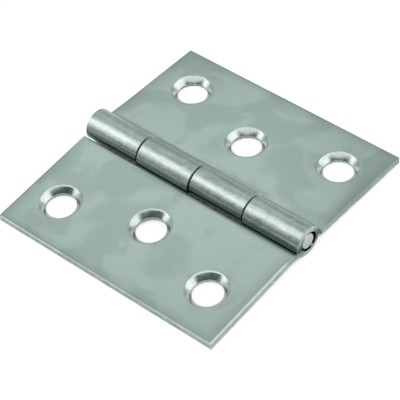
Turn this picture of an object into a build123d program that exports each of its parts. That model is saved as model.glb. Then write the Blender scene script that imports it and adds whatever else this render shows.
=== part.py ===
from build123d import *

# Pressed-steel butt hinge: two leaves with rolled knuckles on one pin, lying open on its knuckles.
# Millimetres, +Z up, X along the pin. The origin lies under the middle of the pin, on the surface
# that the hinge lies on. The door leaf points to +Y, the frame leaf to -Y.
import os
from math import acos, asin, atan2, copysign, cos, degrees, hypot, radians, sin, sqrt, tan

# Sheet and leaves
hinge_length = 50.0
leaf_reach = 26.8  # from the pin's axis to the outer edge of a leaf
sheet = 1.4
face_gap = 0.1  # between the leaves' faces when the hinge is shut
edge_roll_width = 0.7  # rounding that blanking leaves along the leaf's upper edges
edge_roll_depth = 0.25

# Pin
pin_radius = 1.55
pin_play = 0.05  # radial clearance in the knuckles
pin_tip_radius = 1.5
pin_lead = 0.6  # length of the taper at each end
pin_end_chamfer = 0.1

# Knuckles
knuckles_per_leaf = 2
knuckle_gap = 0.4
notch_clearance = 0.6  # from a knuckle to the edge of the other leaf's notch
root_bend = 4.0  # inner radius of the bend that leads the sheet down into the curl
curl_open = 0.25  # by which the curl's last quarter springs open
curl_gap = 0.15  # between the curl's tip and the sheet that it lies over
curl_tip = 0.3  # thickness left at the end of the scarfed tip

# Open mouth of the bore in the end knuckle, off its centre, and the lug in it that keeps the pin
mouth_radius = 1.95
mouth_depth = 1.2
mouth_offset = 0.28
mouth_angle = -135.0  # both angles are round the pin, from the leaf's own direction
lug_angle = -115.0
lug_width = 0.5
lug_depth = 0.35
lug_root = 0.3  # length of the lug inside the wall that it stands on

# Countersunk screw holes
hole_radius = 2.85
sink_depth = 1.1
sink_half_angle = 45.0
sink_rim_round = 0.3
outer_hole_x = 17.4  # from the middle hole, along the pin
hole_row_shift = 0.36  # of all three holes, from the middle of the leaf to its notched end
outer_hole_reach = 18.1
middle_hole_reach = 13.1

# Space that a cutting solid takes beyond the face that it cuts
cut_over = 1.0

# Section of a leaf about the pin's axis: the flat, the root bend and the curl
bore_radius = pin_radius + pin_play
barrel_radius = bore_radius + sheet
face_drop = face_gap / 2
back_drop = face_drop + sheet
bend_distance = barrel_radius + root_bend
bend_drop = back_drop + root_bend
bend_reach = sqrt(bend_distance**2 - bend_drop**2)
bend_centre = (bend_reach, -bend_drop)
bend_angle = degrees(atan2(-bend_drop, bend_reach))
seam_radius = root_bend + sheet + curl_gap
open_centre = (0, -curl_open)
open_bore_radius = bore_radius + curl_open
open_barrel_radius = barrel_radius + curl_open
edge_roll_radius = (edge_roll_width**2 + edge_roll_depth**2) / (2 * edge_roll_depth)
edge_roll_sweep = 2 * degrees(atan2(edge_roll_depth, edge_roll_width))
notch_reach = barrel_radius + notch_clearance
knuckle_pitch = hinge_length / (2 * knuckles_per_leaf)
half_length = hinge_length / 2

# Both leaves droop until their outer edges touch the surface that the knuckles lie on
droop = degrees(asin(barrel_radius / hypot(leaf_reach, back_drop)) - atan2(back_drop, leaf_reach))


def polar(radius, angle):
    return (radius * cos(radians(angle)), radius * sin(radians(angle)))


def seam_angle(radius):
    """Angle round the open quarter's centre at which the tip meets the seam, at a given radius."""
    seam_drop = bend_drop - curl_open
    distance = hypot(bend_reach, seam_drop)
    cosine = (radius**2 + distance**2 - seam_radius**2) / (2 * radius * distance)
    return degrees(acos(cosine) - atan2(seam_drop, bend_reach))


def tip_point(radius, angle):
    y, z = polar(radius, angle)
    return (y, z - curl_open)


def angle_at_bend(point):
    return degrees(atan2(point[1] + bend_drop, point[0] - bend_reach))


def make_section():
    """The sheet's section, Y away from the pin: in along the back, round the curl, out along the face."""
    outer_tip = seam_angle(open_barrel_radius)
    inner_tip = seam_angle(open_bore_radius + curl_tip)
    tip_start = tip_point(open_barrel_radius, outer_tip)
    tip_end = tip_point(open_bore_radius + curl_tip, inner_tip)
    seam_start = angle_at_bend(tip_start)
    seam_sweep = angle_at_bend(tip_end) - seam_start
    bend_sweep = 90 + bend_angle
    curl_sweep = 270 + bend_angle
    roll_start = leaf_reach - edge_roll_width
    roll_end = -face_drop - edge_roll_depth
    with BuildSketch(Plane.YZ) as section:
        with BuildLine():
            Line((leaf_reach, -back_drop), (bend_reach, -back_drop))
            CenterArc(bend_centre, root_bend, 90, bend_sweep)
            CenterArc((0, 0), barrel_radius, bend_angle, -curl_sweep)
            CenterArc(open_centre, open_barrel_radius, 90, outer_tip - 90)
            CenterArc(bend_centre, seam_radius, seam_start, seam_sweep)
            Line(tip_end, tip_point(open_bore_radius, inner_tip))
            CenterArc(open_centre, open_bore_radius, inner_tip, 90 - inner_tip)
            CenterArc((0, 0), bore_radius, 90, curl_sweep)
            CenterArc(bend_centre, root_bend + sheet, 180 + bend_angle, -bend_sweep)
            Line((bend_reach, -face_drop), (roll_start, -face_drop))
            CenterArc((roll_start, -face_drop - edge_roll_radius), edge_roll_radius, 90, -edge_roll_sweep)
            Line((leaf_reach, roll_end), (leaf_reach, -back_drop))
        make_face()
    return section.sketch


def make_screw_punch():
    """What a countersunk hole takes out of the sheet, with the sheet's face at Z = 0."""
    cone_angle = 90 + sink_half_angle
    round_x, round_z = polar(sink_rim_round, cone_angle)
    cone_height = sink_depth - sink_rim_round + round_z
    rim_radius = hole_radius + cone_height * tan(radians(sink_half_angle)) - round_x
    with BuildPart() as punch:
        with BuildSketch(Plane.XZ):
            with BuildLine():
                Polyline(
                    (rim_radius, 0),
                    (rim_radius, cut_over),
                    (0, cut_over),
                    (0, -sheet - cut_over),
                    (hole_radius, -sheet - cut_over),
                    (hole_radius, -sink_depth),
                    (rim_radius + round_x, round_z - sink_rim_round),
                )
                CenterArc((rim_radius, -sink_rim_round), sink_rim_round, cone_angle, -sink_half_angle)
            make_face()
        revolve(axis=Axis.Z)
    return punch.part


def make_leaf():
    """One leaf with its face level, pointing to +Y, with the pin's axis along X through the origin."""
    section = make_section()
    punch = make_screw_punch()
    with BuildPart() as leaf:
        extrude(section, amount=half_length, both=True)

        # Upper edges at the leaf's two ends, rounded by the blanking
        for end in (-half_length, half_length):
            roll_start = end - copysign(edge_roll_width, end)
            with BuildSketch(Plane.XZ.offset(-notch_reach)):
                with Locations(((roll_start + end) / 2, -face_drop)):
                    Rectangle(edge_roll_width, edge_roll_depth, align=(Align.CENTER, Align.MAX))
                with Locations((roll_start, -face_drop - edge_roll_radius)):
                    Circle(edge_roll_radius, mode=Mode.SUBTRACT)
            extrude(amount=notch_reach - leaf_reach, mode=Mode.SUBTRACT)

        # Notches for the other leaf's knuckles
        notch_width = open_barrel_radius + cut_over + notch_reach
        notch_height = 2 * (open_barrel_radius + cut_over)
        for index in range(1, 2 * knuckles_per_leaf, 2):
            start = index * knuckle_pitch - half_length - knuckle_gap / 2
            with Locations((start, notch_reach, 0)):
                Box(
                    knuckle_pitch + knuckle_gap,
                    notch_width,
                    notch_height,
                    align=(Align.MIN, Align.MAX, Align.CENTER),
                    mode=Mode.SUBTRACT,
                )

        # Screw holes
        with Locations(
            (hole_row_shift - outer_hole_x, outer_hole_reach, -face_drop),
            (hole_row_shift, middle_hole_reach, -face_drop),
            (hole_row_shift + outer_hole_x, outer_hole_reach, -face_drop),
        ):
            add(punch, mode=Mode.SUBTRACT)

        # Mouth of the bore at the leaf's own end of the pin, and the lug across it
        mouth_y, mouth_z = polar(mouth_offset, mouth_angle)
        with Locations(Location((-half_length, mouth_y, mouth_z), (0, 90, 0))):
            Cylinder(
                mouth_radius,
                mouth_depth,
                align=(Align.CENTER, Align.CENTER, Align.MIN),
                mode=Mode.SUBTRACT,
            )
        taper = (pin_radius - pin_tip_radius) / pin_lead
        lug_start = pin_tip_radius + taper * lug_depth + pin_play
        lug_end = mouth_radius + mouth_offset + lug_root
        with Locations(Location((-half_length, 0, 0), (lug_angle, 0, 0))):
            with Locations((0, lug_start, 0)):
                Box(
                    lug_depth,
                    lug_end - lug_start,
                    lug_width,
                    align=(Align.MIN, Align.MIN, Align.CENTER),
                )
    return leaf.part


def make_pin():
    """The pin along X, with a lead taper and a broken edge at each end."""
    with BuildPart() as pin:
        with BuildSketch(Plane.XY):
            with BuildLine():
                Polyline(
                    (-half_length, 0),
                    (-half_length, pin_tip_radius),
                    (pin_lead - half_length, pin_radius),
                    (half_length - pin_lead, pin_radius),
                    (half_length, pin_tip_radius),
                    (half_length, 0),
                    close=True,
                )
            make_face()
        revolve(axis=Axis.X)
        ends = pin.faces().sort_by(Axis.X)
        chamfer([ends[0].edge(), ends[-1].edge()], pin_end_chamfer)
    return pin.part


on_axis = Location((0, 0, barrel_radius))
door_leaf = on_axis * Rotation(-droop, 0, 0) * make_leaf()
pieces = {
    "door_leaf": door_leaf,
    "frame_leaf": Rotation(0, 0, 180) * door_leaf,
    "hinge_pin": on_axis * make_pin(),
}

os.makedirs("parts", exist_ok=True)
for name, piece in pieces.items():
    piece.label = name
    export_step(piece, f"parts/{name}.step")
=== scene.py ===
from math import acos, asin, atan2, cos, degrees, hypot, pi, radians, sin, sqrt, tan

import bmesh
import bpy
from mathutils import Matrix, Vector


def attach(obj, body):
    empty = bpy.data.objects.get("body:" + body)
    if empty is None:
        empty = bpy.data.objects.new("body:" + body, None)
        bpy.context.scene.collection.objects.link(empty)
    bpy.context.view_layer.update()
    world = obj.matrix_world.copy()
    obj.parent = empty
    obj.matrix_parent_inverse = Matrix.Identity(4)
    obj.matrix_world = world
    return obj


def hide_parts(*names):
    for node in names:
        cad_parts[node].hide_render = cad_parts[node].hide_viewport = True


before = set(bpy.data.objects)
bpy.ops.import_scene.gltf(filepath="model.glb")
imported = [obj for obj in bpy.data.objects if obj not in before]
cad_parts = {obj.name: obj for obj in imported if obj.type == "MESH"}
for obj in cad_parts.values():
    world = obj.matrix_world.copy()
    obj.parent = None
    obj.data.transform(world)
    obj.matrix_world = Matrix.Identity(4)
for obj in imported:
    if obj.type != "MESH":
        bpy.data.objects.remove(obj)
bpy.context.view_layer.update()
print("frame loaded:", sorted(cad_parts))

millimetre = 0.001  # pieces are modelled in millimetres and shrunk to metres when they are placed


# selecting and cutting, as by hand

def clearSelection():
    active = bpy.context.view_layer.objects.active
    if active and active.mode != "OBJECT":
        bpy.ops.object.mode_set(mode="OBJECT")
    bpy.ops.object.select_all(action="DESELECT")


def activate(piece):
    clearSelection()
    piece.select_set(True)
    bpy.context.view_layer.objects.active = piece


def startEdit(piece):
    activate(piece)
    bpy.ops.object.mode_set(mode="EDIT")


def endEdit():
    bpy.ops.object.mode_set(mode="OBJECT")


def pickFaces(piece, test):
    bpy.ops.mesh.select_mode(type="FACE")
    bpy.ops.mesh.select_all(action="DESELECT")
    mesh = bmesh.from_edit_mesh(piece.data)
    for face in mesh.faces:
        if test(face.calc_center_median(), face.normal, face.calc_area()):
            face.select_set(True)
    bmesh.update_edit_mesh(piece.data)


def sliceAt(axis, places, chooser=None):
    plane = {"x": (1, 0, 0), "y": (0, 1, 0), "z": (0, 0, 1)}[axis]
    for place in places:
        if chooser:
            chooser()
        else:
            bpy.ops.mesh.select_all(action="SELECT")
        bpy.ops.mesh.bisect(plane_co=[place * part for part in plane], plane_no=plane, threshold=1e-4)


def addBlock(name, low, high):
    clearSelection()
    middle = [(a + b) / 2 for a, b in zip(low, high)]
    span = [b - a for a, b in zip(low, high)]
    bpy.ops.mesh.primitive_cube_add(size=1, location=middle, scale=span)
    bpy.ops.object.transform_apply(location=True, rotation=True, scale=True)
    block = bpy.context.object
    block.name = name
    return block


def stackRings(name, rings, steps):
    # a turned piece along Z: a filled circle, then one extrusion for each further ring
    clearSelection()
    radius, height = rings[0]
    bpy.ops.mesh.primitive_circle_add(vertices=steps, radius=radius, fill_type="NGON",
                                      location=(0, 0, height))
    turned = bpy.context.object
    turned.name = name
    bpy.ops.object.transform_apply(location=True, rotation=True, scale=True)
    bpy.ops.object.mode_set(mode="EDIT")
    bpy.ops.mesh.select_all(action="SELECT")
    for nextRadius, nextHeight in rings[1:]:
        bpy.ops.mesh.extrude_region()
        bpy.ops.transform.translate(value=(0, 0, nextHeight - height))
        growth = nextRadius / radius
        bpy.ops.transform.resize(value=(growth, growth, 1), center_override=(0, 0, nextHeight))
        radius, height = nextRadius, nextHeight
    bpy.ops.mesh.select_all(action="SELECT")
    bpy.ops.mesh.normals_make_consistent(inside=False)
    endEdit()
    return turned


def cutWith(piece, tool, operation="DIFFERENCE"):
    activate(piece)
    step = piece.modifiers.new("cut", "BOOLEAN")
    step.operation = operation
    step.solver = "EXACT"
    step.object = tool
    bpy.ops.object.modifier_apply(modifier=step.name)
    bpy.data.objects.remove(tool)


def putDown(piece, matrix):
    activate(piece)
    piece.matrix_world = matrix
    bpy.ops.object.transform_apply(location=True, rotation=True, scale=True)


def shade(piece, angle):
    activate(piece)
    bpy.ops.object.shade_smooth_by_angle(angle=radians(angle))
    step = piece.modifiers.new("evenNormals", "WEIGHTED_NORMAL")
    step.keep_sharp = True
    step.weight = 60
    bpy.ops.object.modifier_apply(modifier=step.name)


# one leaf, face up and level, with the pin's axis along X through the origin

leafSheet = {
    "length": 50.0, "reach": 26.8, "thick": 1.4, "faceDrop": 0.05,
    "rollWide": 0.55, "rollDeep": 0.16, "frontRoll": 0.5, "rollRows": 6, "rollFade": 3.0, "sharpEnd": 0.3,
    "arris": 0.08, "arrisAngle": 35.0, "smoothAngle": 32.0,
    "gridStep": 1.0, "gridStart": 0.6, "gridRows": 22, "gridEdge": 2.0, "largeFace": 0.3,
    "waveHeight": 0.05, "waveSize": 9.0, "waveFade": 3.0,
}
knuckle = {
    "barrel": 3.0, "bore": 1.6, "boreSkin": 0.06, "perLeaf": 2, "gap": 0.4, "notchClear": 0.6,
    "rootBend": 4.0, "curlOpen": 0.25, "curlGap": 0.15, "tipThick": 0.3,
    "notchSteps": 3, "bendSteps": 9, "curlSteps": 45, "openSteps": 20, "tipSteps": 3,
}
screwHole = {
    "radius": 2.85, "sinkDeep": 1.1, "halfAngle": 45.0, "steps": 96, "punchOver": 1.0,
    "rimRound": 0.6, "rimSteps": 8, "rimOver": 0.05, "rimLift": 0.004, "rimKeep": 0.06, "rimSkin": 0.02,
    "outerX": 17.4, "rowShift": 0.36, "outerReach": 18.1, "middleReach": 13.1,
}
mouth = {
    "radius": 1.95, "deep": 1.2, "offset": 0.28, "angle": -135.0, "steps": 72, "bitOver": 0.1,
    "lugAngle": -115.0, "lugSpread": 10.0, "lugWide": 0.5, "lugDeep": 0.35, "lugSet": 0.03,
    "lugStart": 1.58, "lugEnd": 2.53,
}
# painted shade: how strongly and how far the leaves' colour is darkened to stand for shade
paintedShade = {
    "skin": 0.05, "barrelStart": 1.7, "barrelFull": 0.4, "barrelLast": -0.8, "barrelEnd": -2.2,
    "back": -0.8, "endFace": 0.12, "endAmount": 0.45, "holeEdge": 0.12, "holeAmount": 0.6,
    "edgeAmount": 0.24, "endFade": 3.0, "frontFade": 2.5,
    "notchAmount": 0.5, "notchFade": 0.5, "notchUnder": 0.1, "seamFade": 0.5,
    "shadeShare": (0.31, 0.39, 0.36),  # share of a finish's dark colour
}
leafFinishes = ("zincFace", "rubbedArris", "shearedEdge", "coinedSink", "rolledBarrel", "dullBore")
closeBy = 0.01  # a face counts as lying on a surface that it misses by less

half = leafSheet["length"] / 2
backDrop = leafSheet["faceDrop"] + leafSheet["thick"]
notchReach = knuckle["barrel"] + knuckle["notchClear"]
bendDrop = backDrop + knuckle["rootBend"]
bendDistance = knuckle["barrel"] + knuckle["rootBend"]
bendReach = sqrt(bendDistance**2 - bendDrop**2)
bendAngle = degrees(atan2(-bendDrop, bendReach))
bendOuter = knuckle["rootBend"] + leafSheet["thick"]
openBore = knuckle["bore"] + knuckle["curlOpen"]
openBarrel = knuckle["barrel"] + knuckle["curlOpen"]
seamDrop = bendDrop - knuckle["curlOpen"]
seamRadius = bendOuter + knuckle["curlGap"]
pitch = leafSheet["length"] / (2 * knuckle["perLeaf"])
notches = [((2 * n + 1) * pitch - half - knuckle["gap"] / 2, (2 * n + 2) * pitch - half + knuckle["gap"] / 2)
           for n in range(knuckle["perLeaf"])]
holePlaces = [(screwHole["rowShift"] - screwHole["outerX"], screwHole["outerReach"]),
              (screwHole["rowShift"], screwHole["middleReach"]),
              (screwHole["rowShift"] + screwHole["outerX"], screwHole["outerReach"])]
droop = asin(knuckle["barrel"] / hypot(leafSheet["reach"], backDrop)) - atan2(backDrop, leafSheet["reach"])
axisHeight = knuckle["barrel"]
mouthY = mouth["offset"] * cos(radians(mouth["angle"]))
mouthZ = mouth["offset"] * sin(radians(mouth["angle"]))


def within(x, spans):
    return any(start < x < end for start, end in spans)


def seamAngle(radius):
    # round the centre of the curl's open last quarter
    distance = hypot(bendReach, seamDrop)
    cosine = (radius**2 + distance**2 - seamRadius**2) / (2 * radius * distance)
    return degrees(acos(cosine) - atan2(seamDrop, bendReach))


def fromAxis(y, z):
    # radius in the curl, less what its last quarter has sprung open
    if y > 0 and z > -3 * knuckle["curlOpen"]:
        return hypot(y, z + knuckle["curlOpen"]) - knuckle["curlOpen"]
    return hypot(y, z)


def toHole(at):
    return min(hypot(at.x - x, at.y - y) for x, y in holePlaces)


def sinkRim():
    lean = radians(90 + screwHole["halfAngle"])
    roundX = screwHole["rimRound"] * cos(lean)
    roundZ = screwHole["rimRound"] * sin(lean)
    coneHeight = screwHole["sinkDeep"] - screwHole["rimRound"] + roundZ
    return screwHole["radius"] + coneHeight * tan(radians(screwHole["halfAngle"])) - roundX


def turnFaces(steps, turn, y, z):
    # with no window a spin turns the other way round its axis
    bpy.ops.mesh.spin(steps=steps, angle=radians(turn), center=(0, y, z), axis=(1, 0, 0))


def rollCurls(leaf):
    # the plate's inner faces begin the root bend together, then the knuckles go on round the pin
    outerTip = seamAngle(openBarrel)
    innerTip = seamAngle(openBore + knuckle["tipThick"])
    notchTurn = degrees(asin((bendReach - notchReach) / bendOuter))
    startEdit(leaf)
    sliceAt("x", [place for pair in notches for place in pair if abs(place) < half])
    pickFaces(leaf, lambda at, normal, area: normal.y < -0.9)
    turnFaces(knuckle["notchSteps"], -notchTurn, bendReach, -bendDrop)
    pickFaces(leaf, lambda at, normal, area: normal.y < -0.9 and not within(at.x, notches))
    turnFaces(knuckle["bendSteps"], notchTurn - 90 - bendAngle, bendReach, -bendDrop)
    turnFaces(knuckle["curlSteps"], 270 + bendAngle, 0, 0)
    turnFaces(knuckle["openSteps"], 90 - outerTip, 0, -knuckle["curlOpen"])
    # the tip is scarfed step by step to lie along the sheet that it comes down on
    distance = hypot(bendReach, seamDrop)
    for n in range(knuckle["tipSteps"]):
        turnFaces(1, (outerTip - innerTip) / knuckle["tipSteps"], 0, -knuckle["curlOpen"])
        mesh = bmesh.from_edit_mesh(leaf.data)
        for corner in [corner for corner in mesh.verts if corner.select]:
            y, z = corner.co.y, corner.co.z + knuckle["curlOpen"]
            radius = hypot(y, z)
            if radius > openBore + knuckle["boreSkin"]:
                turn = atan2(z, y) + atan2(seamDrop, bendReach)
                scarf = distance * cos(turn) - sqrt(seamRadius**2 - (distance * sin(turn))**2)
                corner.co.y = y * scarf / radius
                corner.co.z = z * scarf / radius - knuckle["curlOpen"]
        bmesh.update_edit_mesh(leaf.data)
    bpy.ops.mesh.select_all(action="SELECT")
    bpy.ops.mesh.normals_make_consistent(inside=False)
    endEdit()


def punchHoles(leaf):
    lean = 90 + screwHole["halfAngle"]
    rim = sinkRim()
    bottom = -leafSheet["thick"] - screwHole["punchOver"]
    rings = [(screwHole["radius"], bottom), (screwHole["radius"], -screwHole["sinkDeep"])]
    for n in range(screwHole["rimSteps"]):
        turn = radians(lean - screwHole["halfAngle"] * n / screwHole["rimSteps"])
        rings.append((rim + screwHole["rimRound"] * cos(turn), screwHole["rimRound"] * (sin(turn) - 1)))
    over = rim + screwHole["rimOver"]
    rings += [(over, screwHole["rimLift"]), (over, screwHole["punchOver"])]
    for x, y in holePlaces:
        punch = stackRings("punch", rings, screwHole["steps"])
        putDown(punch, Matrix.Translation((x, y, -leafSheet["faceDrop"])))
        cutWith(leaf, punch)


def openMouth(leaf):
    # the bore opens off its centre at the end knuckle, and a lug in it holds the pin
    rings = [(mouth["radius"], -mouth["bitOver"]), (mouth["radius"], mouth["deep"])]
    bit = stackRings("bit", rings, mouth["steps"])
    putDown(bit, Matrix.Translation((-half, mouthY, mouthZ)) @ Matrix.Rotation(radians(90), 4, "Y"))
    cutWith(leaf, bit)
    lug = addBlock("lug", (-half + mouth["lugSet"], mouth["lugStart"], -mouth["lugWide"] / 2),
                   (-half + mouth["lugDeep"], mouth["lugEnd"], mouth["lugWide"] / 2))
    putDown(lug, Matrix.Rotation(radians(mouth["lugAngle"]), 4, "X"))
    cutWith(leaf, lug, "UNION")


def breakEdges(leaf):
    activate(leaf)
    step = leaf.modifiers.new("arris", "BEVEL")
    step.width = leafSheet["arris"]
    step.segments = 2
    step.limit_method = "ANGLE"
    step.angle_limit = radians(leafSheet["arrisAngle"])
    step.material = leafFinishes.index("rubbedArris")
    bpy.ops.object.modifier_apply(modifier=step.name)


def rollDown(distance):
    # how far blanking has drawn the face down at a distance from the edge
    inward = leafSheet["rollWide"] - distance
    if inward <= 0:
        return 0.0
    radius = (leafSheet["rollWide"]**2 + leafSheet["rollDeep"]**2) / (2 * leafSheet["rollDeep"])
    return radius - sqrt(radius**2 - min(inward, leafSheet["rollWide"])**2)


def drawEdges(leaf):
    # rows beside the three cut edges, then the face is drawn down along them
    startEdit(leaf)
    rim = sinkRim() + screwHole["rimKeep"]

    def plateOnly():
        # the small faces of the countersinks stay whole
        pickFaces(leaf, lambda at, normal, area: at.y > bendReach - closeBy
                  and (area > leafSheet["largeFace"] or toHole(at) > rim))

    rows = [leafSheet["rollWide"] * n / leafSheet["rollRows"] for n in range(1, leafSheet["rollRows"] + 1)]
    sliceAt("y", [leafSheet["reach"] - row for row in rows], plateOnly)
    sliceAt("x", [side * (half - row) for row in rows for side in (-1, 1)], plateOnly)
    columns = int((half - leafSheet["gridEdge"]) / leafSheet["gridStep"])
    gridX = [n * leafSheet["gridStep"] for n in range(-columns, columns + 1)]
    firstRow = bendReach + leafSheet["gridStart"]
    gridY = [firstRow + n * leafSheet["gridStep"] for n in range(leafSheet["gridRows"])]
    sliceAt("x", gridX, plateOnly)
    sliceAt("y", gridY, plateOnly)
    bpy.ops.mesh.select_all(action="SELECT")
    bpy.ops.mesh.remove_doubles(threshold=0.004)
    bpy.ops.mesh.dissolve_degenerate(threshold=0.002)
    endEdit()
    for corner in leaf.data.vertices:
        x, y, z = corner.co
        if y < bendReach:
            continue
        fade = min(1.0, (y - bendReach) / leafSheet["rollFade"])
        endDrop = rollDown(half - abs(x)) * fade * fade * (3 - 2 * fade)
        if x > 0:
            endDrop *= leafSheet["sharpEnd"]
        drop = hypot(rollDown(leafSheet["reach"] - y) * leafSheet["frontRoll"], endDrop)
        corner.co.z = -backDrop + (z + backDrop) * (1 - drop / leafSheet["thick"])


def waveSheet(leaf):
    # cold-rolled sheet is never quite flat
    flats = leaf.vertex_groups.new(name="flats")
    for corner in leaf.data.vertices:
        rise = min(1.0, max(0.0, (corner.co.y - bendReach) / leafSheet["waveFade"]))
        if rise > 0:
            flats.add([corner.index], rise, "REPLACE")
    clouds = bpy.data.textures.new("sheetWave", "CLOUDS")
    clouds.noise_scale = leafSheet["waveSize"]
    clouds.noise_depth = 1
    activate(leaf)
    step = leaf.modifiers.new("wave", "DISPLACE")
    step.texture = clouds
    step.texture_coords = "LOCAL"
    step.direction = "Z"
    step.strength = leafSheet["waveHeight"]
    step.mid_level = 0.5
    step.vertex_group = flats.name
    bpy.ops.object.modifier_apply(modifier=step.name)
    leaf.vertex_groups.clear()
    bpy.data.textures.remove(clouds)


def ease(value, low, high):
    part = min(1.0, max(0.0, (value - low) / (high - low)))
    return part * part * (3 - 2 * part)


def paintedShadeAt(at):
    # painted shade: darker low on the barrel, beside the seam, in front of the notches, on the end face at
    # +X, round the holes and along the edges
    if fromAxis(at.y, at.z) < knuckle["barrel"] + paintedShade["skin"]:
        below = ease(at.z, paintedShade["barrelStart"], paintedShade["barrelFull"])
        return below * ease(at.z, paintedShade["barrelEnd"], paintedShade["barrelLast"])
    if at.z < paintedShade["back"]:
        return 0.0
    if at.x > half - paintedShade["endFace"] and at.y > bendReach:
        return paintedShade["endAmount"]
    if toHole(at) < screwHole["radius"] + paintedShade["holeEdge"]:
        return paintedShade["holeAmount"]
    toEnd = ease(half - abs(at.x), paintedShade["endFade"], 0.0)
    toFront = ease(leafSheet["reach"] - at.y, paintedShade["frontFade"], 0.0)
    edge = paintedShade["edgeAmount"] * max(toEnd, toFront)
    if within(at.x, notches):
        along = ease(at.y, notchReach + paintedShade["notchFade"], notchReach - paintedShade["notchUnder"])
        return max(edge, paintedShade["notchAmount"] * along)
    return max(edge, ease(at.y, bendReach + paintedShade["seamFade"], openBarrel))


def sortFinishes(leaf):
    # each face takes the finish of the way that it was made
    finish = {name: n for n, name in enumerate(leafFinishes)}
    rim = sinkRim()
    for face in leaf.data.polygons:
        if face.material_index == finish["rubbedArris"]:
            continue
        x, y, z = face.center
        normal = face.normal
        radius = fromAxis(y, z)
        away = toHole(face.center)
        deep = x + half
        fromMouth = hypot(y - mouthY, z - mouthZ)
        fromLug = abs(degrees(atan2(z, y)) - mouth["lugAngle"])
        inMouth = closeBy < deep < mouth["deep"] + closeBy and fromMouth < mouth["radius"] + closeBy
        name = "zincFace"
        if radius < knuckle["barrel"] + closeBy and y < notchReach:
            name = "rolledBarrel"
            if inMouth and deep < mouth["lugDeep"] and fromLug < mouth["lugSpread"]:
                name = "shearedEdge"
            elif inMouth or radius < knuckle["bore"] + knuckle["boreSkin"]:
                name = "dullBore"
            elif abs(normal.x) > 0.7:
                name = "shearedEdge"
        elif abs(normal.z) < 0.5:
            name = "shearedEdge"
        elif screwHole["radius"] - closeBy < away < rim + screwHole["rimSkin"] and normal.z > 0.2:
            name = "coinedSink"
        face.material_index = finish[name]
    ring = leaf.data.attributes.new("sinkRing", "FLOAT", "POINT")
    ring.data.foreach_set("value", [toHole(corner.co) for corner in leaf.data.vertices])
    # painted shade: each corner keeps how strongly its colour is darkened for shade
    paintedShadeMask = leaf.data.attributes.new("paintedShadeMask", "FLOAT", "POINT")
    paintedShadeMask.data.foreach_set("value", [paintedShadeAt(corner.co) for corner in leaf.data.vertices])


def makeLeaf():
    low = (-half, bendReach, -backDrop)
    high = (half, leafSheet["reach"], -leafSheet["faceDrop"])
    leaf = addBlock("leafBlank", low, high)
    for name in leafFinishes:
        leaf.data.materials.append(bpy.data.materials.new(name))
    rollCurls(leaf)
    print("curls rolled:", len(leaf.data.polygons), "faces")
    punchHoles(leaf)
    breakEdges(leaf)
    openMouth(leaf)
    print("holes and mouth cut, edges broken:", len(leaf.data.polygons), "faces")
    drawEdges(leaf)
    waveSheet(leaf)
    sortFinishes(leaf)
    print("edges drawn down:", len(leaf.data.polygons), "faces")
    return leaf


def placeLeaf(blank, name, turn):
    leaf = blank.copy()
    leaf.data = blank.data.copy()
    leaf.name = name
    leaf.data.name = name
    bpy.context.scene.collection.objects.link(leaf)
    lie = Matrix.Translation((0, 0, axisHeight)) @ Matrix.Rotation(-droop, 4, "X")
    putDown(leaf, Matrix.Scale(millimetre, 4) @ Matrix.Rotation(turn, 4, "Z") @ lie)
    shade(leaf, leafSheet["smoothAngle"])
    return leaf


# the pin: drawn wire, tapered a little and cropped at both ends

pinRod = {
    "radius": 1.55, "tip": 1.5, "lead": 0.6, "steps": 72, "halfRings": 6, "smoothAngle": 40.0,
    # share of the tip's radius, and depth below the end
    "crown": ((0.75, 0.0), (0.88, 0.008), (0.94, 0.024), (0.98, 0.052), (1.0, 0.1)),
}


def makePin():
    endRings = [(pinRod["tip"] * share, depth) for share, depth in pinRod["crown"]]
    endRings.append((pinRod["radius"], pinRod["lead"]))
    count = pinRod["halfRings"]
    rings = [(radius, depth - half) for radius, depth in endRings]
    rings += [(pinRod["radius"], half * n / count) for n in range(1 - count, count)]
    rings += [(radius, half - depth) for radius, depth in reversed(endRings)]
    pin = stackRings("pinWire", rings, pinRod["steps"])
    putDown(pin, Matrix.Scale(millimetre, 4) @ Matrix.Translation((0, 0, axisHeight))
            @ Matrix.Rotation(radians(90), 4, "Y"))
    shade(pin, pinRod["smoothAngle"])
    pin.data.materials.append(bpy.data.materials.new("drawnPin"))
    return pin


leafBlank = makeLeaf()
doorLeaf = placeLeaf(leafBlank, "doorLeafSheet", 0.0)
frameLeaf = placeLeaf(leafBlank, "frameLeafSheet", pi)
bpy.data.objects.remove(leafBlank)
pin = makePin()
for piece, node, body, finish in ((doorLeaf, "door_leaf", "door_side", "leaf_zinc"),
                                  (frameLeaf, "frame_leaf", "frame_side", "leaf_zinc"),
                                  (pin, "hinge_pin", "frame_side", "pin_steel")):
    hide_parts(node)
    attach(piece, body)
print("pieces placed:", doorLeaf.name, frameLeaf.name, pin.name)


# shared effects of the finishes

def newGroup(name, inputs, outputs):
    tree = bpy.data.node_groups.new(name, "ShaderNodeTree")
    for label, value in inputs:
        socket = tree.interface.new_socket(name=label, in_out="INPUT", socket_type="NodeSocketFloat")
        socket.default_value = value
    for label in outputs:
        tree.interface.new_socket(name=label, in_out="OUTPUT", socket_type="NodeSocketFloat")
    return tree, tree.nodes.new("NodeGroupInput"), tree.nodes.new("NodeGroupOutput")


def addNode(tree, kind, settings=None, values=None):
    node = tree.nodes.new(kind)
    for name, value in (settings or {}).items():
        setattr(node, name, value)
    for socket, value in (values or {}).items():
        node.inputs[socket].default_value = value
    return node


def mapped(tree, source, low, high, outLow=0.0, outHigh=1.0):
    ranger = addNode(tree, "ShaderNodeMapRange", {"interpolation_type": "SMOOTHSTEP"},
                     {"From Min": low, "From Max": high, "To Min": outLow, "To Max": outHigh})
    tree.links.new(source, ranger.inputs["Value"])
    return ranger.outputs["Result"]


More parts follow.
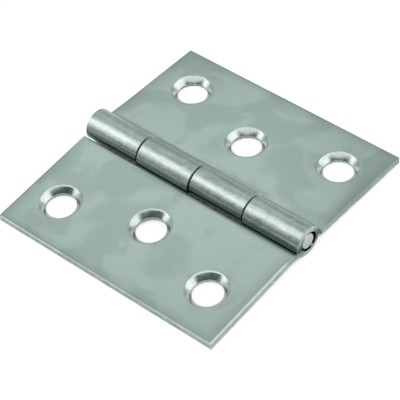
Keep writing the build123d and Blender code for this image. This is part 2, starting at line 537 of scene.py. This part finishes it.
def blended(tree, kind, first, second):
    maths = addNode(tree, "ShaderNodeMath", {"operation": kind})
    for place, source in enumerate((first, second)):
        if isinstance(source, (int, float)):
            maths.inputs[place].default_value = source
        else:
            tree.links.new(source, maths.inputs[place])
    return maths.outputs["Value"]


def grainGroup():
    # streaks that rolling draws along the sheet, along X
    tree, start, end = newGroup("rollingGrain", [("Along", 120.0), ("Across", 6000.0)], ["Streak", "Fine"])
    place = addNode(tree, "ShaderNodeTexCoord")
    scale = addNode(tree, "ShaderNodeCombineXYZ")
    tree.links.new(start.outputs["Along"], scale.inputs["X"])
    tree.links.new(start.outputs["Across"], scale.inputs["Y"])
    tree.links.new(start.outputs["Across"], scale.inputs["Z"])
    stretch = addNode(tree, "ShaderNodeVectorMath", {"operation": "MULTIPLY"})
    tree.links.new(place.outputs["Object"], stretch.inputs[0])
    tree.links.new(scale.outputs["Vector"], stretch.inputs[1])
    broad = addNode(tree, "ShaderNodeTexNoise", None, {"Scale": 0.35, "Detail": 3.0, "Roughness": 0.6})
    fine = addNode(tree, "ShaderNodeTexNoise", None, {"Scale": 1.7, "Detail": 4.0, "Roughness": 0.7})
    for noise, output in ((broad, "Streak"), (fine, "Fine")):
        tree.links.new(stretch.outputs["Vector"], noise.inputs["Vector"])
        tree.links.new(mapped(tree, noise.outputs["Fac"], 0.3, 0.7), end.inputs[output])
    return tree


def bloomGroup():
    # cloudy patches and finer mottling that plating leaves
    tree, start, end = newGroup("zincBloom", [("Patches", 110.0), ("Mottles", 900.0)], ["Cloud", "Mottle"])
    place = addNode(tree, "ShaderNodeTexCoord")
    for label, output, detail, low, high in (("Patches", "Cloud", 2.5, 0.34, 0.66),
                                              ("Mottles", "Mottle", 4.0, 0.36, 0.64)):
        noise = addNode(tree, "ShaderNodeTexNoise", None,
                        {"Detail": detail, "Roughness": 0.55, "Distortion": 0.4})
        tree.links.new(place.outputs["Object"], noise.inputs["Vector"])
        tree.links.new(start.outputs[label], noise.inputs["Scale"])
        tree.links.new(mapped(tree, noise.outputs["Fac"], low, high), end.inputs[output])
    return tree


def scuffGroup():
    # thin handling scratches in two directions, broken up, and small dark specks
    tree, start, end = newGroup("handlingScuffs", [("Amount", 1.0)], ["Scratch", "Speck"])
    place = addNode(tree, "ShaderNodeTexCoord")
    lines = []
    for turn, stretchX, stretchY in ((35.0, 40.0, 700.0), (-62.0, 55.0, 900.0)):
        turned = addNode(tree, "ShaderNodeMapping", None,
                         {"Rotation": (0.0, 0.0, radians(turn)), "Scale": (stretchX, stretchY, 60.0)})
        noise = addNode(tree, "ShaderNodeTexNoise", None, {"Scale": 1.0, "Detail": 1.0})
        tree.links.new(place.outputs["Object"], turned.inputs["Vector"])
        tree.links.new(turned.outputs["Vector"], noise.inputs["Vector"])
        away = blended(tree, "ABSOLUTE", blended(tree, "SUBTRACT", noise.outputs["Fac"], 0.5), 0)
        lines.append(mapped(tree, away, 0.0, 0.006, 1.0, 0.0))
    parts = addNode(tree, "ShaderNodeTexNoise", None, {"Scale": 260.0, "Detail": 2.0})
    tree.links.new(place.outputs["Object"], parts.inputs["Vector"])
    shown = mapped(tree, parts.outputs["Fac"], 0.5, 0.62)
    scratch = blended(tree, "MULTIPLY", blended(tree, "MAXIMUM", lines[0], lines[1]), shown)
    tree.links.new(blended(tree, "MULTIPLY", scratch, start.outputs["Amount"]), end.inputs["Scratch"])
    cells = addNode(tree, "ShaderNodeTexVoronoi", None, {"Scale": 700.0})
    tree.links.new(place.outputs["Object"], cells.inputs["Vector"])
    dot = mapped(tree, cells.outputs["Distance"], 0.05, 0.16, 1.0, 0.0)
    rare = addNode(tree, "ShaderNodeSeparateColor")
    tree.links.new(cells.outputs["Color"], rare.inputs["Color"])
    speck = blended(tree, "MULTIPLY", dot, mapped(tree, rare.outputs["Red"], 0.86, 0.9))
    tree.links.new(blended(tree, "MULTIPLY", speck, start.outputs["Amount"]), end.inputs["Speck"])
    return tree


groups = {"grain": grainGroup(), "bloom": bloomGroup(), "scuff": scuffGroup()}
print("finish groups made:", sorted(groups))


# finishes: dark and light are the two ends of the colour, the rest are strengths

finishes = {
    "zincFace": {"dark": (0.60, 0.615, 0.61), "light": (0.70, 0.715, 0.71), "rough": 0.21, "roughMore": 0.04,
                 "along": 120.0, "across": 5200.0, "grain": 0.06, "cloud": 0.9, "mottle": 0.04,
                 "scuff": 0.4, "bump": 0.006, "ring": 0.0},
    "rubbedArris": {"dark": (0.54, 0.56, 0.55), "light": (0.70, 0.72, 0.71), "rough": 0.26, "roughMore": 0.14,
                    "along": 300.0, "across": 3000.0, "grain": 0.3, "cloud": 0.4, "mottle": 0.5,
                    "scuff": 0.6, "bump": 0.05, "ring": 0.0},
    "shearedEdge": {"dark": (0.56, 0.58, 0.57), "light": (0.76, 0.78, 0.77), "rough": 0.42, "roughMore": 0.2,
                    "along": 2600.0, "across": 2600.0, "grain": 0.5, "cloud": 0.3, "mottle": 0.5,
                    "scuff": 0.3, "bump": 0.2, "ring": 0.0},
    "coinedSink": {"dark": (0.54, 0.56, 0.55), "light": (0.70, 0.72, 0.71), "rough": 0.21, "roughMore": 0.08,
                   "along": 500.0, "across": 500.0, "grain": 0.1, "cloud": 0.3, "mottle": 0.3,
                   "scuff": 0.3, "bump": 0.06, "ring": 0.3},
    "rolledBarrel": {"dark": (0.48, 0.50, 0.49), "light": (0.62, 0.64, 0.63), "rough": 0.2, "roughMore": 0.1,
                     "along": 260.0, "across": 3000.0, "grain": 0.6, "cloud": 0.3, "mottle": 0.4,
                     "scuff": 0.5, "bump": 0.1, "ring": 0.0},
    "dullBore": {"dark": (0.05, 0.055, 0.053), "light": (0.11, 0.12, 0.115), "rough": 0.55, "roughMore": 0.2,
                 "along": 300.0, "across": 2000.0, "grain": 0.5, "cloud": 0.3, "mottle": 0.4,
                 "scuff": 0.2, "bump": 0.1, "ring": 0.0},
    "drawnPin": {"dark": (0.70, 0.73, 0.72), "light": (0.84, 0.87, 0.86), "rough": 0.3, "roughMore": 0.18,
                 "along": 900.0, "across": 2600.0, "grain": 0.35, "cloud": 0.3, "mottle": 0.5,
                 "scuff": 0.6, "bump": 0.1, "ring": 0.0},
}
wear = {"stainDark": 0.45, "stainCover": 0.7, "scratchRough": 0.15, "scratchDeep": 0.6, "bumpDepth": 0.00012}


def paint(name, spec):
    material = bpy.data.materials[name]
    material.use_nodes = True
    tree = material.node_tree
    tree.nodes.clear()
    out = addNode(tree, "ShaderNodeOutputMaterial")
    metal = addNode(tree, "ShaderNodeBsdfPrincipled", None, {"Metallic": 1.0})
    tree.links.new(metal.outputs["BSDF"], out.inputs["Surface"])
    effect = {}
    for key, values in (("grain", {"Along": spec["along"], "Across": spec["across"]}), ("bloom", {}),
                        ("scuff", {"Amount": spec["scuff"]})):
        effect[key] = addNode(tree, "ShaderNodeGroup", {"node_tree": groups[key]}, values)
    streak = effect["grain"].outputs["Streak"]
    fine = effect["grain"].outputs["Fine"]
    cloud = effect["bloom"].outputs["Cloud"]
    mottle = effect["bloom"].outputs["Mottle"]
    scratch = effect["scuff"].outputs["Scratch"]
    speck = effect["scuff"].outputs["Speck"]
    total = spec["grain"] + spec["cloud"] + spec["mottle"] + spec["ring"]
    tone = blended(tree, "MULTIPLY", streak, spec["grain"] / total)
    tone = blended(tree, "ADD", tone, blended(tree, "MULTIPLY", cloud, spec["cloud"] / total))
    tone = blended(tree, "ADD", tone, blended(tree, "MULTIPLY", mottle, spec["mottle"] / total))
    if spec["ring"]:
        radius = addNode(tree, "ShaderNodeAttribute", {"attribute_name": "sinkRing"})
        turns = addNode(tree, "ShaderNodeTexNoise", {"noise_dimensions": "1D"}, {"Scale": 9.0, "Detail": 3.0})
        tree.links.new(radius.outputs["Fac"], turns.inputs["W"])
        ringTone = mapped(tree, turns.outputs["Fac"], 0.3, 0.7)
        tone = blended(tree, "ADD", tone, blended(tree, "MULTIPLY", ringTone, spec["ring"] / total))
    colour = addNode(tree, "ShaderNodeMix", {"data_type": "RGBA"})
    colour.inputs["A"].default_value = (*spec["dark"], 1)
    colour.inputs["B"].default_value = (*spec["light"], 1)
    tree.links.new(mapped(tree, tone, 0.15, 0.85), colour.inputs["Factor"])
    stain = addNode(tree, "ShaderNodeMix", {"data_type": "RGBA"})
    stain.inputs["B"].default_value = (*[part * wear["stainDark"] for part in spec["dark"]], 1)
    tree.links.new(colour.outputs["Result"], stain.inputs["A"])
    tree.links.new(blended(tree, "MULTIPLY", speck, wear["stainCover"]), stain.inputs["Factor"])
    # painted shade: the colour is taken down towards a share of the dark colour where the painted shade mask
    # is high
    paintedShadeMask = addNode(tree, "ShaderNodeAttribute", {"attribute_name": "paintedShadeMask"})
    shadedColour = addNode(tree, "ShaderNodeMix", {"data_type": "RGBA"})
    shadeColour = [part * share for part, share in zip(spec["dark"], paintedShade["shadeShare"])]
    shadedColour.inputs["B"].default_value = (*shadeColour, 1)
    tree.links.new(stain.outputs["Result"], shadedColour.inputs["A"])
    tree.links.new(paintedShadeMask.outputs["Fac"], shadedColour.inputs["Factor"])
    tree.links.new(shadedColour.outputs["Result"], metal.inputs["Base Color"])
    uneven = blended(tree, "MULTIPLY", blended(tree, "ADD", fine, mottle), 0.5)  # the mean of both
    rough = blended(tree, "MULTIPLY", uneven, spec["roughMore"])
    rough = blended(tree, "ADD", rough, spec["rough"] - spec["roughMore"] / 2)
    rough = blended(tree, "ADD", rough, blended(tree, "MULTIPLY", scratch, wear["scratchRough"]))
    tree.links.new(rough, metal.inputs["Roughness"])
    height = blended(tree, "SUBTRACT", uneven, blended(tree, "MULTIPLY", scratch, wear["scratchDeep"]))
    bump = addNode(tree, "ShaderNodeBump", None, {"Strength": spec["bump"], "Distance": wear["bumpDepth"]})
    tree.links.new(height, bump.inputs["Height"])
    tree.links.new(bump.outputs["Normal"], metal.inputs["Normal"])


for name, spec in finishes.items():
    paint(name, spec)
print("finishes painted:", len(finishes))


# floor, light and camera

studio = {
    "floorSize": 3.0, "floorColour": (0.82, 0.825, 0.825), "floorWhite": 0.73,
    "whiteLevel": 1.18, "floorLift": 0.1,
    "gapReach": 0.006, "gapShade": (0.12, 0.28), "gapShadeColour": (0.01, 0.018, 0.015),
    "aside": (0.70, 0.714, 0.0), "toward": (0.714, -0.70, 0.0),
    "roomDark": (0.08, 0.115, 0.103), "roomPale": (0.415, 0.52, 0.485), "roomTurn": (0.6, -0.5),
    "overMiddle": (1.03, 1.15, 1.11), "overSides": (1.38, 1.5, 1.46), "sides": (0.35, 0.85),
    "topEdge": (0.61, 0.71), "wallEdge": (0.27, 0.03), "wallShift": (-0.5, 0.5, 0.0, 0.42),
    "wallFoot": (0.0, 0.2), "backEdge": (-0.48, -0.2),
}
cards = {
    "backCard": {"at": (-0.1107, 0.098, 0.1632), "wide": 0.121, "high": 0.0965,
                 "radiance": 0.2, "colour": (0.8, 1.0, 0.93)},
    "leftStrip": {"at": (-0.235, -0.157, 0.262), "wide": 0.15, "high": 0.24,
                  "radiance": 0.2, "colour": (0.95, 1.0, 0.98)},
}
viewpoint = {
    "place": (160.683, -158.237, 240.142), "target": (1.325, -1.638, 0.0), "roll": -7.18,
    "lens": 163.4, "sensor": 36.0, "clipStart": 0.01,
}


def makeFloor():
    clearSelection()
    bpy.ops.mesh.primitive_plane_add(size=studio["floorSize"], location=(0, 0, 0))
    floor = bpy.context.object
    floor.name = "studioFloor"
    material = bpy.data.materials.new("paleFloor")
    material.use_nodes = True
    tree = material.node_tree
    tree.nodes.clear()
    out = addNode(tree, "ShaderNodeOutputMaterial")
    matt = addNode(tree, "ShaderNodeBsdfDiffuse")
    white = addNode(tree, "ShaderNodeEmission", None,
                    {"Color": (1, 1, 1, 1), "Strength": studio["whiteLevel"]})
    both = addNode(tree, "ShaderNodeMixShader")
    path = addNode(tree, "ShaderNodeLightPath")
    direct = blended(tree, "MAXIMUM", path.outputs["Is Camera Ray"], path.outputs["Is Transmission Ray"])
    # painted shade: ambient occlusion turns the floor's colour dark and takes its white away in the narrow
    # gaps under the hinge
    clear = addNode(tree, "ShaderNodeAmbientOcclusion", {"samples": 8}, {"Distance": studio["gapReach"]})
    clear = mapped(tree, clear.outputs["AO"], *studio["gapShade"])
    direct = blended(tree, "MULTIPLY", blended(tree, "MULTIPLY", direct, studio["floorWhite"]), clear)
    shaded = addNode(tree, "ShaderNodeMix", {"data_type": "RGBA"})
    shaded.inputs["A"].default_value = (*studio["gapShadeColour"], 1)
    shaded.inputs["B"].default_value = (*studio["floorColour"], 1)
    tree.links.new(clear, shaded.inputs["Factor"])
    tree.links.new(shaded.outputs["Result"], matt.inputs["Color"])
    mirrored = blended(tree, "MULTIPLY", path.outputs["Is Glossy Ray"], studio["floorLift"])
    tree.links.new(blended(tree, "MAXIMUM", direct, mirrored), both.inputs["Fac"])
    tree.links.new(matt.outputs["BSDF"], both.inputs[1])
    tree.links.new(white.outputs["Emission"], both.inputs[2])
    tree.links.new(both.outputs["Shader"], out.inputs["Surface"])
    floor.data.materials.append(material)


def lightWorld():
    # a pale room with a wide soft box overhead: it reaches low at both sides, and stays above the camera
    world = bpy.data.worlds.new("studioRoom")
    bpy.context.scene.world = world
    world.use_nodes = True
    tree = world.node_tree
    tree.nodes.clear()
    out = addNode(tree, "ShaderNodeOutputWorld")
    sky = addNode(tree, "ShaderNodeBackground", None, {"Strength": 1.0})
    place = addNode(tree, "ShaderNodeTexCoord")

    def along(direction):
        lean = addNode(tree, "ShaderNodeVectorMath", {"operation": "DOT_PRODUCT"})
        lean.inputs[1].default_value = direction
        tree.links.new(place.outputs["Generated"], lean.inputs[0])
        return lean.outputs["Value"]

    def mixed(factor, first, second):
        colour = addNode(tree, "ShaderNodeMix", {"data_type": "RGBA"})
        tree.links.new(factor, colour.inputs["Factor"])
        for socket, source in (("A", first), ("B", second)):
            if isinstance(source, tuple):
                colour.inputs[socket].default_value = (*source, 1)
            else:
                tree.links.new(source, colour.inputs[socket])
        return colour.outputs["Result"]

    toward = along(studio["toward"])
    aside = along(studio["aside"])
    height = along((0, 0, 1))
    wall = blended(tree, "SUBTRACT", toward, mapped(tree, aside, *studio["wallShift"]))
    foot = mapped(tree, height, *studio["wallFoot"])
    wall = blended(tree, "MULTIPLY", mapped(tree, wall, *studio["wallEdge"]), foot)
    front = blended(tree, "MAXIMUM", mapped(tree, height, *studio["topEdge"]), wall)
    box = blended(tree, "MULTIPLY", front, mapped(tree, toward, *studio["backEdge"]))
    room = mixed(mapped(tree, toward, *studio["roomTurn"]), studio["roomDark"], studio["roomPale"])
    spread = mapped(tree, blended(tree, "ABSOLUTE", aside, 0), *studio["sides"])
    lit = mixed(box, room, mixed(spread, studio["overMiddle"], studio["overSides"]))
    path = addNode(tree, "ShaderNodeLightPath")
    tree.links.new(mixed(path.outputs["Is Camera Ray"], lit, (1.0, 1.0, 1.0)), sky.inputs["Color"])
    tree.links.new(sky.outputs["Background"], out.inputs["Surface"])


def hangCards():
    for name, card in cards.items():
        lamp = bpy.data.lights.new(name, "AREA")
        lamp.shape = "RECTANGLE"
        lamp.size = card["wide"]
        lamp.size_y = card["high"]
        lamp.color = card["colour"]
        lamp.energy = card["radiance"] * pi * card["wide"] * card["high"]
        holder = bpy.data.objects.new(name, lamp)
        bpy.context.scene.collection.objects.link(holder)
        holder.location = card["at"]
        holder.rotation_euler = Vector(card["at"]).to_track_quat("Z", "Y").to_euler()


def setCamera():
    lens = bpy.data.cameras.new("photoView")
    lens.lens = viewpoint["lens"]
    lens.sensor_fit = "HORIZONTAL"
    lens.sensor_width = viewpoint["sensor"]
    lens.clip_start = viewpoint["clipStart"]
    camera = bpy.data.objects.new("photoView", lens)
    bpy.context.scene.collection.objects.link(camera)
    place = Vector(viewpoint["place"]) * millimetre
    away = place - Vector(viewpoint["target"]) * millimetre
    turn = away.to_track_quat("Z", "Y").to_matrix().to_4x4()
    roll = Matrix.Rotation(radians(viewpoint["roll"]), 4, "Z")
    camera.matrix_world = Matrix.Translation(place) @ turn @ roll
    bpy.context.scene.camera = camera


makeFloor()
lightWorld()
hangCards()
setCamera()
bpy.context.scene.view_settings.view_transform = "Standard"
print("floor, light and camera set")
